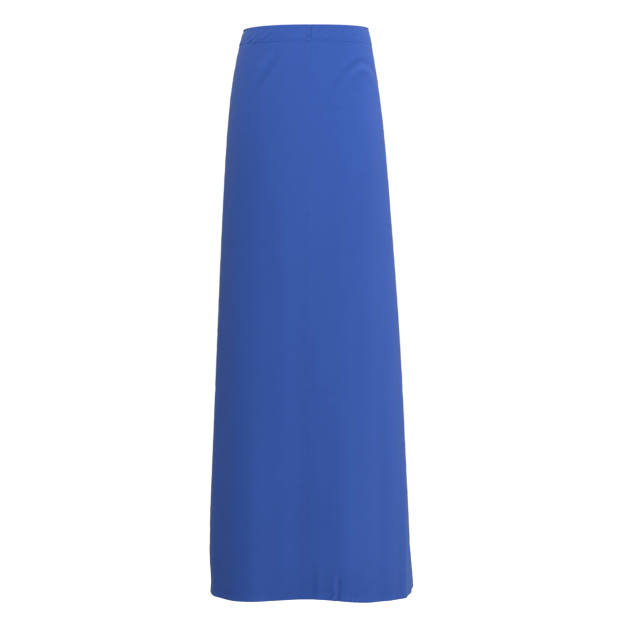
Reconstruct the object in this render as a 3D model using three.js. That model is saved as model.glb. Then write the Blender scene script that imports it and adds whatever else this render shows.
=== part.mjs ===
// Long waist apron in woven cloth, standing open as it hangs from a wearer's waist and tied in a bow
// behind. Millimetres, +Z up, the front faces -Y. The origin is the middle of the waist ring, level
// with the waistband's top edge. "Arc" is the distance along the cloth from centre front, positive to
// +X. "Drop" is the distance down the cloth from the top edge. "Off" is the distance out of the cloth.
import * as THREE from 'three';

// Finished sizes of the flat apron.
const LENGTH = 1000;
const PANEL_WIDTH = 640;
const BAND_HEIGHT = 30;
const SEAM_ALLOWANCE = 10;
const SIDE_HEM = 12;
const BOTTOM_HEM = 14;
const HEM_STITCH_INSET = 2;
const BAND_STITCH_INSET = 3;

// Layers of cloth, the air kept between two pieces, and the sewing thread.
const CLOTH = 0.8;
const AIR = 0.3;
const THREAD = 0.6;
const FOLD_STEP = 0.2;

// The waist ring: the gap between the panel's back edges, where the ties meet.
const BACK_GAP = 50;
const HALF_GIRTH = (PANEL_WIDTH + BACK_GAP) / 2;

// The two sides of the ring. waistShare is the reach to the side at the waist, as a share of half the
// girth. hipReach is gained within a few hipDepths of the waist, and flare is the further gain for each
// millimetre of drop. A turn power of 1 gives a round corner, and a higher one a flat front that turns
// late. slack is how far the back edge falls behind a closed ring for each millimetre of drop,
// and sag is how far the cloth beyond SAG_REACH hangs below centre front for each millimetre of drop.
const LEFT = {
  sign: -1, waistShare: 0.3478, hipReach: 23.5, hipDepth: 90, flare: 0.0405,
  turnPower: 1.5, turnGain: 0.00035, backPower: 1.196, slack: 0.075, sag: 0.012,
};
const RIGHT = {
  sign: 1, waistShare: 0.2971, hipReach: 20.9, hipDepth: 140, flare: 0.063,
  turnPower: 2.05, turnGain: -0.00112, backPower: 1.363, slack: 0.1, sag: 0.02,
};
const SAG_REACH = 120;
const BACK_PULL = { amount: 0.45, rise: 120, fade: 600 };
const FRONT_SWELL = { reach: 30, depth: 150, lean: 0.01 };

// Ties, bow and label.
const TIE_LENGTH = 800;
const TIE_WIDTH = 30;
const TIE_THICKNESS = 1.6;
const GATHERED_WIDTH = 18;
const KNOT = { width: 24, height: 30, depth: 16, cloth: 50, behind: 4, power: 3, dropShare: 0.47 };
const LOOP = { reach: 110, droop: 50, rootRadius: 6, opening: 9, behind: 7, rootGap: 1.5, gather: 34 };
const TAIL = { rootHalfWidth: 7, rootOffset: 8, gather: 50, splay: 0.035, sway: 6 };
const LABEL = { arc: -215, width: 30, height: 42, top: 8, thickness: 0.6 };
const BARTACK = { width: 3, inset: 5, thickness: 0.5, margin: 3 };

const WALK_STEP = 4;
const FALL_STEP = 5;
const ARC_STEP = 13;
const PANEL_ROWS = [45, 60, 80, 105, 135, 170, 215, 270, 340, 420, 500, 580, 660, 740, 820, 900, 950];

const BLUE = 0x3a5fae;
const clothBlue = () => new THREE.MeshStandardMaterial({ color: BLUE, roughness: 0.85, metalness: 0 });
const threadBlue = () => new THREE.MeshStandardMaterial({ color: 0x31519a, roughness: 0.6, metalness: 0 });
const labelWhite = () => new THREE.MeshStandardMaterial({ color: 0xf0efea, roughness: 0.5, metalness: 0 });

// ---- The hanging cloth ----

// Mean of a function of the turning angle over the quarter turn from centre front to the side.
function quarterMean(power, part) {
  const steps = 80;
  let sum = 0;
  for (let i = 0; i < steps; i++) sum += part((Math.PI / 2) * ((i + 0.5) / steps) ** power);
  return sum / steps;
}

// The shape of one side at a drop: the arc at which the cloth has turned a quarter, the power of that
// turn, and the arc and power of the next quarter, which ends where a closed ring would close.
const shapes = new Map();
function sideShape(side, drop) {
  const key = `${side.sign} ${drop}`;
  if (!shapes.has(key)) {
    const reach = side.waistShare * HALF_GIRTH
      + side.hipReach * (1 - Math.exp(-drop / side.hipDepth)) + side.flare * drop;
    const power = side.turnPower + side.turnGain * drop;
    const quarter = reach / quarterMean(power, Math.cos);
    const pull = (1 - Math.exp(-drop / BACK_PULL.rise)) * Math.exp(-drop / BACK_PULL.fade);
    shapes.set(key, {
      quarter,
      power,
      backRun: HALF_GIRTH - quarter + side.slack * drop,
      backPower: side.backPower - BACK_PULL.amount * pull,
    });
  }
  return shapes.get(key);
}

// How far the cloth has turned from facing the front, at an arc of one side.
function turnAt(shape, arc) {
  const quarterTurn = Math.PI / 2;
  if (arc <= shape.quarter) return quarterTurn * (arc / shape.quarter) ** shape.power;
  return quarterTurn + quarterTurn * ((arc - shape.quarter) / shape.backRun) ** shape.backPower;
}

// Walks along the cloth from centre front in small steps, each in the direction the cloth faces there.
function walk(side, arc, drop) {
  const shape = sideShape(side, drop);
  const steps = Math.max(1, Math.ceil(arc / WALK_STEP));
  const step = arc / steps;
  let x = 0;
  let y = -FRONT_SWELL.reach * (1 - Math.exp(-drop / FRONT_SWELL.depth)) - FRONT_SWELL.lean * drop;
  for (let i = 0; i < steps; i++) {
    const angle = turnAt(shape, (i + 0.5) * step);
    x += Math.cos(angle) * step;
    y += Math.sin(angle) * step;
  }
  return { x: side.sign * x, y, turn: turnAt(shape, arc) };
}

// The height of a point. As the cloth leans outwards down its length, it falls by less than its drop.
// The wearer holds up the front, so that the sides sag below it.
const columns = new Map();
function heightAt(side, arc, drop) {
  const key = `${side.sign} ${arc}`;
  if (!columns.has(key)) columns.set(key, { heights: [0], last: walk(side, arc, 0) });
  const column = columns.get(key);
  const fall = (from, to, length) => Math.sqrt(
    Math.max(0, length ** 2 - (to.x - from.x) ** 2 - (to.y - from.y) ** 2));
  const whole = Math.floor(drop / FALL_STEP);
  while (column.heights.length <= whole) {
    const next = walk(side, arc, column.heights.length * FALL_STEP);
    column.heights.push(column.heights.at(-1) - fall(column.last, next, FALL_STEP));
    column.last = next;
  }
  const rest = drop - whole * FALL_STEP;
  if (rest < 1e-9) return column.heights[whole];
  const from = walk(side, arc, whole * FALL_STEP);
  return column.heights[whole] - fall(from, walk(side, arc, drop), rest);
}

// The ring's middle, which becomes the origin, and the point where it closes at centre back.
const closing = walk(RIGHT, HALF_GIRTH, 0);
const MIDDLE_X = (RIGHT.waistShare - LEFT.waistShare) * HALF_GIRTH / 2;
const MIDDLE_Y = closing.y / 2;
const BACK = new THREE.Vector3(closing.x - MIDDLE_X, closing.y - MIDDLE_Y, -BAND_HEIGHT * KNOT.dropShare);

function clothPoint(arc, drop, off = 0) {
  const side = arc < 0 ? LEFT : RIGHT;
  const at = walk(side, Math.abs(arc), drop);
  const sag = side.sag * drop * (1 - Math.exp(-((arc / SAG_REACH) ** 2)));
  return new THREE.Vector3(
    at.x - MIDDLE_X + side.sign * Math.sin(at.turn) * off,
    at.y - MIDDLE_Y - Math.cos(at.turn) * off,
    heightAt(side, Math.abs(arc), drop) - sag);
}

// ---- Closed bodies ----

function solid(points, triangles) {
  let volume = 0;
  for (const [a, b, c] of triangles) volume += points[a].dot(points[b].clone().cross(points[c]));
  const faces = volume < 0 ? triangles.map(([a, b, c]) => [a, c, b]) : triangles;
  const geometry = new THREE.BufferGeometry();
  geometry.setAttribute('position',
    new THREE.Float32BufferAttribute(points.flatMap((p) => [p.x, p.y, p.z]), 3));
  geometry.setIndex(faces.flat());
  geometry.computeVertexNormals();
  return geometry;
}

// Joins a row of like outlines into one body, with a flat cap at each end. The caps are cut into
// triangles on the flat outline, given as pairs of numbers.
function loft(rings, outline) {
  const count = outline.length;
  const triangles = [];
  for (let i = 0; i + 1 < rings.length; i++) {
    for (let j = 0; j < count; j++) {
      const a = i * count + j;
      const b = i * count + (j + 1) % count;
      triangles.push([a, b, b + count], [a, b + count, a + count]);
    }
  }
  const flat = outline.map(([u, v]) => new THREE.Vector2(u, v));
  const last = (rings.length - 1) * count;
  for (const [a, b, c] of THREE.ShapeUtils.triangulateShape(flat, [])) {
    triangles.push([a, c, b], [last + a, last + b, last + c]);
  }
  // An outline listed clockwise has its sides facing in while its caps face out, so the caps turn.
  if (THREE.ShapeUtils.area(flat) < 0) {
    for (let i = (rings.length - 1) * count * 2; i < triangles.length; i++) triangles[i].reverse();
  }
  return solid(rings.flat(), triangles);
}

// A sheet with an outer and an inner skin over the same rows and columns, closed round its edge.
function sheet(arcs, drops, outer, inner) {
  const points = [];
  for (const skin of [outer, inner]) {
    for (const drop of drops) for (const arc of arcs) points.push(clothPoint(arc, drop, skin(arc, drop)));
  }
  const across = arcs.length;
  const skinSize = across * drops.length;
  const triangles = [];
  const quad = (a, b, c, d) => triangles.push([a, b, c], [a, c, d]);
  for (let i = 0; i + 1 < drops.length; i++) {
    for (let j = 0; j + 1 < across; j++) {
      const a = i * across + j;
      quad(a, a + across, a + across + 1, a + 1);
      quad(skinSize + a, skinSize + a + 1, skinSize + a + across + 1, skinSize + a + across);
    }
  }
  for (let i = 0; i + 1 < drops.length; i++) {
    for (const [edge, turned] of [[0, false], [across - 1, true]]) {
      const a = i * across + edge;
      const b = a + across;
      if (turned) quad(a, b, skinSize + b, skinSize + a);
      else quad(a, skinSize + a, skinSize + b, b);
    }
  }
  for (let j = 0; j + 1 < across; j++) {
    for (const [row, turned] of [[0, false], [drops.length - 1, true]]) {
      const a = row * across + j;
      if (turned) quad(a, skinSize + a, skinSize + a + 1, a + 1);
      else quad(a, a + 1, skinSize + a + 1, skinSize + a);
    }
  }
  return solid(points, triangles);
}

// A run of thread lying just off a skin, along a list of [arc, drop] places.
function threadRun(places, along, skin) {
  const sides = 6;
  const outline = Array.from({ length: sides }, (_, i) => {
    const angle = 2 * Math.PI * i / sides;
    return [THREAD / 2 * Math.cos(angle), THREAD / 2 * Math.sin(angle)];
  });
  const lift = skin + AIR + THREAD / 2;
  return loft(places.map(([arc, drop]) => outline.map(([u, v]) => (
    along === 'arc' ? clothPoint(arc, drop + v, lift + u) : clothPoint(arc + v, drop, lift + u)
  ))), outline);
}

// ---- The apron's own stations and layers ----

const HALF_PANEL = PANEL_WIDTH / 2;
const CLOTH_OUT = CLOTH / 2;
const CLOTH_IN = -CLOTH / 2;
const BAND_IN = CLOTH_OUT + AIR;
const BAND_OUT = BAND_IN + CLOTH;
const BAND_STITCH_DROP = BAND_HEIGHT - BAND_STITCH_INSET;
const PANEL_TOP = BAND_HEIGHT - SEAM_ALLOWANCE;
const HEM_TOP = BAND_HEIGHT + 3 * AIR;
const SIDE_STITCH_ARC = HALF_PANEL - SIDE_HEM + HEM_STITCH_INSET;
const BOTTOM_STITCH_DROP = LENGTH - BOTTOM_HEM + HEM_STITCH_INSET;

// Columns along one side, from centre front to the panel's edge, shared by every layer so that the
// layers stay the same distance apart on the curve.
const innerColumns = Math.round((HALF_PANEL - SIDE_HEM) / ARC_STEP);
const sideArcs = [
  ...Array.from({ length: innerColumns }, (_, i) => i * (HALF_PANEL - SIDE_HEM - FOLD_STEP) / innerColumns),
  HALF_PANEL - SIDE_HEM - FOLD_STEP, HALF_PANEL - SIDE_HEM, SIDE_STITCH_ARC, HALF_PANEL,
];
const mirrored = (arcs) => [...arcs.slice(1).reverse().map((arc) => -arc), ...arcs];
const panelArcs = mirrored(sideArcs);
const panelDrops = [
  PANEL_TOP, BAND_STITCH_DROP, HEM_TOP, HEM_TOP + FOLD_STEP,
  ...PANEL_ROWS.map((row) => row * LENGTH / 1000),
  LENGTH - BOTTOM_HEM - FOLD_STEP, LENGTH - BOTTOM_HEM, BOTTOM_STITCH_DROP, LENGTH,
];

const group = new THREE.Group();
function add(name, geometry, material) {
  const mesh = new THREE.Mesh(geometry, material);
  mesh.name = name;
  group.add(mesh);
}

// ---- Skirt: one width of cloth, its side and bottom edges folded twice to the inside and sewn ----

function skirtInside(arc, drop) {
  const folded = Math.abs(arc) >= HALF_PANEL - SIDE_HEM || drop >= LENGTH - BOTTOM_HEM;
  return folded && drop > HEM_TOP ? CLOTH_IN - CLOTH : CLOTH_IN;
}
add('skirt_panel', sheet(panelArcs, panelDrops, () => CLOTH_OUT, skirtInside), clothBlue());

const hemRows = panelDrops.filter((drop) => drop > HEM_TOP && drop < BOTTOM_STITCH_DROP - THREAD);
for (const [name, arc] of [['side_hem_stitching_left', -SIDE_STITCH_ARC],
  ['side_hem_stitching_right', SIDE_STITCH_ARC]]) {
  add(name, threadRun(hemRows.map((drop) => [arc, drop]), 'drop', CLOTH_OUT), threadBlue());
}
add('bottom_hem_stitching',
  threadRun(panelArcs.map((arc) => [arc, BOTTOM_STITCH_DROP]), 'arc', CLOTH_OUT), threadBlue());

// ---- Waistband: two strips joined at centre front, each folded over the panel's top edge ----

function bandHalf(arcs) {
  const outer = [0, BAND_HEIGHT / 3, PANEL_TOP, BAND_STITCH_DROP, BAND_HEIGHT];
  const inner = [BAND_HEIGHT, BAND_STITCH_DROP, PANEL_TOP, BAND_HEIGHT / 3, CLOTH];
  const outline = [
    ...outer.map((drop) => [BAND_OUT, drop]), ...inner.map((drop) => [BAND_IN, drop]),
    ...inner.toReversed().map((drop) => [-BAND_IN, drop]), ...outer.toReversed().map((drop) => [-BAND_OUT, drop]),
  ];
  return loft(arcs.map((arc) => outline.map(([off, drop]) => clothPoint(arc, drop, off))), outline);
}
const bandArcs = [AIR / 2, ...sideArcs.slice(1)];
add('waistband_right', bandHalf(bandArcs), clothBlue());
add('waistband_left', bandHalf(bandArcs.map((arc) => -arc).reverse()), clothBlue());
add('waistband_stitching',
  threadRun(panelArcs.map((arc) => [arc, BAND_STITCH_DROP]), 'arc', BAND_OUT), threadBlue());

// ---- Bartacks: a dense block of thread over each end of the band, where the tie is sewn in ----

const boxOutline = (halfU, halfV) => [[-halfU, -halfV], [halfU, -halfV], [halfU, halfV], [-halfU, halfV]];
function patch(arcFrom, arcTo, dropFrom, dropTo, low, high) {
  const outline = [[low, dropFrom], [high, dropFrom], [high, dropTo], [low, dropTo]];
  return loft([arcFrom, arcTo].map((arc) => outline.map(([off, drop]) => clothPoint(arc, drop, off))), outline);
}
for (const [name, sign] of [['bartack_left', -1], ['bartack_right', 1]]) {
  const far = HALF_PANEL - BARTACK.inset;
  const arcs = [sign * far, sign * (far - BARTACK.width)];
  const low = BAND_OUT + AIR;
  add(name, patch(arcs[0], arcs[1], BARTACK.margin, BAND_STITCH_DROP - BARTACK.margin, low,
    low + BARTACK.thickness), threadBlue());
}

// ---- Care label: a small blank tape hanging inside, sewn to the band's inner face ----

{
  const arcs = [0, 0.25, 0.5, 0.75, 1].map((share) => LABEL.arc + share * LABEL.width);
  const high = -BAND_OUT - 2 * AIR;
  const low = high - LABEL.thickness;
  const drops = [LABEL.top, BAND_HEIGHT, LABEL.top + LABEL.height];
  const outline = [...drops.map((drop) => [high, drop]), ...drops.toReversed().map((drop) => [low, drop])];
  add('care_label', loft(arcs.map((arc) => outline.map(([off, drop]) => clothPoint(arc, drop, off))), outline),
    labelWhite());
}

// ---- Ties: each is one folded strip, seen here as its run to the knot, its loop and its tail ----

const smooth = (share) => {
  const part = Math.min(1, Math.max(0, share));
  return part * part * (3 - 2 * part);
};
const mix = (from, to, share) => from + (to - from) * share;

// A ribbon along a path. Each station gives its place, the half width, and the width's direction.
function ribbon(stations, thickness) {
  const outline = boxOutline(1, 1);
  return loft(stations.map((station, i) => {
    const before = stations[Math.max(0, i - 1)].place;
    const after = stations[Math.min(stations.length - 1, i + 1)].place;
    const along = after.clone().sub(before).normalize();
    const out = along.clone().cross(station.across).normalize();
    return outline.map(([u, v]) => station.place.clone()
      .addScaledVector(station.across, u * station.halfWidth)
      .addScaledVector(out, v * thickness(i) / 2));
  }), outline);
}

const knotSide = KNOT.width / 2 + AIR;
const STRAIGHT_IN = 2;
for (const [name, sign] of [['tie_left_run', -1], ['tie_right_run', 1]]) {
  const start = clothPoint(sign * (HALF_PANEL + AIR), 0);
  const startLow = clothPoint(sign * (HALF_PANEL + AIR), BAND_HEIGHT);
  const end = BACK.clone().add(new THREE.Vector3(sign * knotSide, 0, 0));
  const across = startLow.clone().sub(start);
  const middle = start.clone().add(startLow).multiplyScalar(0.5);
  const approach = end.clone().add(new THREE.Vector3(sign * STRAIGHT_IN, 0, 0));
  const stations = [0, 0.25, 0.5, 0.75, 1].map((share) => ({
    place: middle.clone().lerp(approach, share),
    halfWidth: mix(across.length(), GATHERED_WIDTH, smooth(share)) / 2,
    across: across.clone().normalize().lerp(new THREE.Vector3(0, 0, -1), share).normalize(),
  }));
  stations.push({ ...stations.at(-1), place: end });
  add(name, ribbon(stations, () => TIE_THICKNESS), clothBlue());
}

// The knot: a rounded block of wrapped cloth, flat where the ties enter it.
const KNOT_MIDDLE = BACK.clone().add(new THREE.Vector3(0, KNOT.behind, 0));
{
  const sides = 20;
  const power = 2 / KNOT.power;
  const outline = Array.from({ length: sides }, (_, i) => {
    const angle = 2 * Math.PI * i / sides;
    const part = (value) => Math.sign(value) * Math.abs(value) ** power;
    return [KNOT.depth / 2 * part(Math.cos(angle)), KNOT.height / 2 * part(Math.sin(angle))];
  });
  const waistOfKnot = [[-1, 0.76], [-0.75, 0.9], [-0.35, 1], [0.35, 1], [0.75, 0.9], [1, 0.76]];
  add('bow_knot', loft(waistOfKnot.map(([share, scale]) => outline.map(([u, v]) => new THREE.Vector3(
    KNOT_MIDDLE.x + share * KNOT.width / 2, KNOT_MIDDLE.y + u * scale, KNOT_MIDDLE.z + v * scale))), outline),
  clothBlue());
}

// Each loop leaves the knot's side, droops under its own weight and comes back behind itself. Its root
// is round, about the pivot on which it lifts.
const droop = LOOP.droop * Math.PI / 180;
function loopHalfWidth(fromRoot) {
  if (fromRoot < LOOP.rootRadius) return Math.sqrt(LOOP.rootRadius ** 2 - (LOOP.rootRadius - fromRoot) ** 2);
  return mix(LOOP.rootRadius, TIE_WIDTH / 2, smooth((fromRoot - LOOP.rootRadius) / LOOP.gather));
}
for (const [name, sign] of [['bow_loop_left', -1], ['bow_loop_right', 1]]) {
  const along = new THREE.Vector3(sign * Math.cos(droop), 0, -Math.sin(droop));
  const across = new THREE.Vector3(sign * Math.sin(droop), 0, Math.cos(droop));
  const pivot = BACK.clone().add(new THREE.Vector3(sign * (knotSide + LOOP.rootRadius), LOOP.behind, 0));
  const steps = 36;
  const blunt = 0.4;
  const stations = Array.from({ length: steps + 1 }, (_, i) => {
    const angle = 2 * Math.PI * i / steps;
    const share = (1 - Math.cos(angle)) / 2;
    const out = mix(blunt, LOOP.reach, share);
    const swell = LOOP.opening * (share - Math.sin(angle) * Math.sqrt(share));
    const behind = swell - LOOP.rootGap * Math.cos(angle / 2);
    return {
      place: pivot.clone().addScaledVector(along, out - LOOP.rootRadius).add(new THREE.Vector3(0, behind, 0)),
      halfWidth: loopHalfWidth(out),
      across,
    };
  });
  add(name, ribbon(stations, () => TIE_THICKNESS), clothBlue());
}

// Each tail hangs from under the knot, and swings on its own top edge.
const TAIL_LENGTH = TIE_LENGTH - (BACK_GAP / 2 - KNOT.width / 2) - KNOT.cloth - 2 * LOOP.reach;
const TAIL_TOP = KNOT_MIDDLE.z - KNOT.height / 2 - AIR;
function tailStation(sign, down) {
  const opened = smooth(down / TAIL.gather);
  const halfWidth = mix(TAIL.rootHalfWidth, TIE_WIDTH / 2, opened);
  const aside = TAIL.rootOffset - TAIL.rootHalfWidth + halfWidth + opened + TAIL.splay * down;
  const behind = TAIL.sway * Math.sin(Math.PI * down / TAIL_LENGTH) * opened * sign * 0.5;
  return {
    place: new THREE.Vector3(KNOT_MIDDLE.x + sign * aside, KNOT_MIDDLE.y + behind, TAIL_TOP - down),
    halfWidth,
    across: new THREE.Vector3(1, 0, 0),
  };
}
const tailDrops = [0, 0.25, 0.8, 8, 16, 24, 32, 40, 50,
  ...Array.from({ length: 12 }, (_, i) => mix(50, TAIL_LENGTH, (i + 1) / 12))];
for (const [side, sign] of [['left', -1], ['right', 1]]) {
  const stations = tailDrops.map((down) => tailStation(sign, down));
  const rounded = (i) => {
    const shy = Math.max(0, TIE_THICKNESS / 2 - tailDrops[i]);
    return Math.max(0.4, 2 * Math.sqrt((TIE_THICKNESS / 2) ** 2 - shy ** 2));
  };
  add(`tie_tail_${side}`, ribbon(stations, rounded), clothBlue());

  // The end of the tie is turned in and sewn across.
  const seam = tailStation(sign, TAIL_LENGTH - SIDE_HEM);
  const reachAcross = seam.halfWidth - HEM_STITCH_INSET;
  const lift = new THREE.Vector3(0, TIE_THICKNESS / 2 + AIR + THREAD / 2, 0);
  const outline = boxOutline(THREAD / 2, THREAD / 2);
  add(`tail_stitching_${side}`, loft([-reachAcross, reachAcross].map((aside) => outline.map(([u, v]) => (
    seam.place.clone().add(lift).add(new THREE.Vector3(aside, u, v))))), outline), threadBlue());
}

export default group;
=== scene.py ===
"""A long waist apron of blue twill, hanging as it is worn, built in the order in which it is sewn.
Metres, +Z up, the front faces -Y. Along the cloth, arc is measured from centre front, positive to +X,
and drop is measured down from the top edge."""

import math

import bpy
import numpy as np
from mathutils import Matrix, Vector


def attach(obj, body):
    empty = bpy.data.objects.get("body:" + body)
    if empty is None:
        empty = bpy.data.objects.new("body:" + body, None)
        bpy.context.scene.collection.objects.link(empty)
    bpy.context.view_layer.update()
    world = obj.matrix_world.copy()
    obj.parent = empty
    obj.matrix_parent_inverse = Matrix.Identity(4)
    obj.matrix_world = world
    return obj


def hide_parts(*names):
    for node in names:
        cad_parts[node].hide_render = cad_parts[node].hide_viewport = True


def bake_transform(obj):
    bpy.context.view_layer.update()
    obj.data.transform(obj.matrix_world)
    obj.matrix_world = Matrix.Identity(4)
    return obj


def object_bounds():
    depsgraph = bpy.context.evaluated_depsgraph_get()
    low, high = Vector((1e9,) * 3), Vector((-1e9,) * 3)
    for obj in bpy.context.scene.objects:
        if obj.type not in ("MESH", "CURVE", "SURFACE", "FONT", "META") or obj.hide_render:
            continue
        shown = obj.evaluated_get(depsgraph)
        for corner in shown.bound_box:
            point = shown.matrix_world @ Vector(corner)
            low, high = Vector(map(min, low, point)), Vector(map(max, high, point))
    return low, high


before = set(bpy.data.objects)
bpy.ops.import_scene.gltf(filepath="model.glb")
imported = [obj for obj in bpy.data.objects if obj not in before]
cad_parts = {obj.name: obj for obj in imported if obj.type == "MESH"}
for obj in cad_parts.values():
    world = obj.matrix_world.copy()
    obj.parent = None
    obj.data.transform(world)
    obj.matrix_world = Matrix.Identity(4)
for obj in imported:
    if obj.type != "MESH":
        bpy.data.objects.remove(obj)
cad_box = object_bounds()

# ---- The skirt ----
# One width of blue cotton twill about 0.45 mm thick. Its side and bottom edges are folded twice to the
# inside and sewn, and its top edge is caught in the waistband. The wearer holds it out in front, and
# its two back edges hang apart.
LENGTH = 1.0
PANEL_WIDTH = 0.64
BACK_GAP = 0.05
BAND_HEIGHT = 0.03
SEAM_ALLOWANCE = 0.01
SIDE_HEM = 0.012
BOTTOM_HEM = 0.014
CLOTH = 0.00045
HEM_STITCH_INSET = 0.002

half_girth = (PANEL_WIDTH + BACK_GAP) / 2
half_panel = PANEL_WIDTH / 2
side_stitch = half_panel - SIDE_HEM + HEM_STITCH_INSET
bottom_stitch = LENGTH - BOTTOM_HEM + HEM_STITCH_INSET
DROP_STEP = 0.002
ARC_STEPS = 690
ARC_STEP = half_girth / ARC_STEPS
chance = np.random.default_rng(7)


def hanging_side(waist_share, hip_reach, hip_depth, flare, turn_power, turn_gain, back_power, slack, sag):
    """One side of the hanging cloth as x, y and z on a grid of drops (rows) and arcs (columns).
    The cloth is walked from centre front in small steps, each in the direction it faces. It has turned
    a quarter of the way round where the side reaches furthest, by (arc / quarter) to a power, and it
    turns on towards centre back by a like law. The height falls by what is left of each step of drop
    once the cloth's own outward lean is taken off. The wearer holds up the front, so that the sides
    hang below it by sag for each metre of drop."""
    drop = np.arange(0, LENGTH + DROP_STEP / 2, DROP_STEP)[:, None]
    arc = np.arange(ARC_STEPS + 1)[None, :] * ARC_STEP
    reach = waist_share * half_girth + hip_reach * (1 - np.exp(-drop / hip_depth)) + flare * drop
    power = turn_power + turn_gain * drop
    share = (np.arange(200)[None, :] + 0.5) / 200
    quarter = reach / np.cos(math.pi / 2 * share**power).mean(axis=1, keepdims=True)
    pull = 0.45 * (1 - np.exp(-drop / 0.12)) * np.exp(-drop / 0.6)
    past = np.clip(arc - quarter, 0, None) / (half_girth - quarter + slack * drop)
    turned = np.where(arc < quarter, (arc / quarter) ** power, 1 + past ** (back_power - pull))
    angle = math.pi / 2 * (turned[:, 1:] + turned[:, :-1]) / 2
    x = np.pad(np.cumsum(np.cos(angle), axis=1) * ARC_STEP, ((0, 0), (1, 0)))
    y = np.pad(np.cumsum(np.sin(angle), axis=1) * ARC_STEP, ((0, 0), (1, 0)))
    y = y - 0.03 * (1 - np.exp(-drop / 0.15)) - 0.01 * drop
    lean = np.hypot(np.diff(x, axis=0), np.diff(y, axis=0))
    fall = np.sqrt(np.clip(DROP_STEP**2 - lean**2, 0, None))
    z = -np.pad(np.cumsum(fall, axis=0), ((1, 0), (0, 0))) - sag * drop * (1 - np.exp(-(arc / 0.12) ** 2))
    return np.stack([x, y, z], axis=-1)


# How far each side of the waist reaches, as a share of half the girth.
LEFT_WAIST, RIGHT_WAIST = 0.3478, 0.2971
left_side = hanging_side(LEFT_WAIST, hip_reach=0.0235, hip_depth=0.09, flare=0.0405, turn_power=1.5,
                         turn_gain=0.35, back_power=1.196, slack=0.075, sag=0.012) * (-1, 1, 1)
right_side = hanging_side(RIGHT_WAIST, hip_reach=0.0209, hip_depth=0.14, flare=0.063, turn_power=2.05,
                          turn_gain=-1.12, back_power=1.363, slack=0.1, sag=0.02)
ring_middle = np.array([(RIGHT_WAIST - LEFT_WAIST) * half_girth / 2, right_side[0, -1, 1] / 2, 0])
cloth_table = np.concatenate([left_side[:, :0:-1], right_side], axis=1) - ring_middle


def facing(grid):
    """The unit normals of a grid of points: down the rows crossed with along the columns."""
    crossed = np.cross(np.gradient(grid, axis=0), np.gradient(grid, axis=1))
    return crossed / np.maximum(np.linalg.norm(crossed, axis=-1, keepdims=True), 1e-12)


normal_table = facing(cloth_table)


def between(grid, row, column):
    """Reads a grid at any row and column, in straight lines between its nearest four entries."""
    i = np.clip(row.astype(int), 0, grid.shape[0] - 2)
    j = np.clip(column.astype(int), 0, grid.shape[1] - 2)
    v, u = (row - i)[..., None], (column - j)[..., None]
    upper = grid[i, j] * (1 - u) + grid[i, j + 1] * u
    return upper * (1 - v) + (grid[i + 1, j] * (1 - u) + grid[i + 1, j + 1] * u) * v


def hang(arc, drop, off=0.0):
    """The hanging cloth's points at arrays of arc and drop, moved out along its normals by off."""
    arc, drop, off = np.broadcast_arrays(np.asarray(arc, float), np.asarray(drop, float), off)
    row, column = drop / DROP_STEP, (arc + half_girth) / ARC_STEP
    return between(cloth_table, row, column) + between(normal_table, row, column) * off[..., None]


def bell(value, width):
    """A smooth hump, 1 at zero and nearly 0 two widths away."""
    return np.exp(-((value / width) ** 2))


def rise(value, start, end):
    """Climbs smoothly from 0 at start to 1 at end."""
    part = np.clip((value - start) / (end - start), 0, 1)
    return part * part * (3 - 2 * part)


def stations(*runs):
    """Places along a line: each run is its start, its end and about how far apart its places are."""
    parts = [np.linspace(a, b, max(2, round((b - a) / step) + 1))[:-1] for a, b, step in runs]
    return np.append(np.concatenate(parts), runs[-1][1])


# Slow waves, mostly upright as folds in hanging cloth are: a length across, a slant and a start each.
wave_lengths = chance.uniform(0.05, 0.17, 9)
wave_slants = chance.uniform(-4.0, 4.0, 9)
wave_starts = chance.uniform(0, 2 * math.pi, 9)
ripple_lengths = chance.uniform(0.0062, 0.0125, 8)
ripple_starts = chance.uniform(0, 2 * math.pi, 8)
ripple_leans = chance.uniform(-0.2, 1.9, 8)
dimple_turns = chance.uniform(0, math.pi, 10)
dimple_lengths = chance.uniform(0.018, 0.045, 10)
dimple_starts = chance.uniform(0, 2 * math.pi, 10)


def ripples(along, aside, slant=0.7):
    """The uneven slanted puckers of a sewn edge: a sum of short waves along the seam, each leaning."""
    total = np.zeros(np.broadcast(along, aside).shape)
    for length, lean, start in zip(ripple_lengths, ripple_leans, ripple_starts):
        total = total + np.sin(2 * math.pi * (along + slant * lean * aside) / length + start)
    return total / math.sqrt(len(ripple_lengths))


def dimples(arc, drop):
    """The faint unevenness of cloth that has been folded away: ten short waves, each its own way."""
    total = np.zeros(np.broadcast(arc, drop).shape)
    for turn, length, start in zip(dimple_turns, dimple_lengths, dimple_starts):
        total = total + np.sin(2 * math.pi * (arc * math.cos(turn) + drop * math.sin(turn)) / length + start)
    return total / math.sqrt(len(dimple_turns))


def hug(arc, drop):
    """How far the cloth is drawn in at the wearer's sides, by a bell that fades below the waist."""
    return -0.0024 * bell(abs(arc) - 0.17, 0.07) * np.exp(-drop / 0.09)


def band_wave(arc, drop):
    """The slow unevenness of the waistband, a sum of two sines along it, which the cloth inside follows."""
    return 0.00035 * np.sin(arc * 47 + 1.1) + 0.00022 * np.sin(arc * 101 + 8 * drop)


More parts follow.
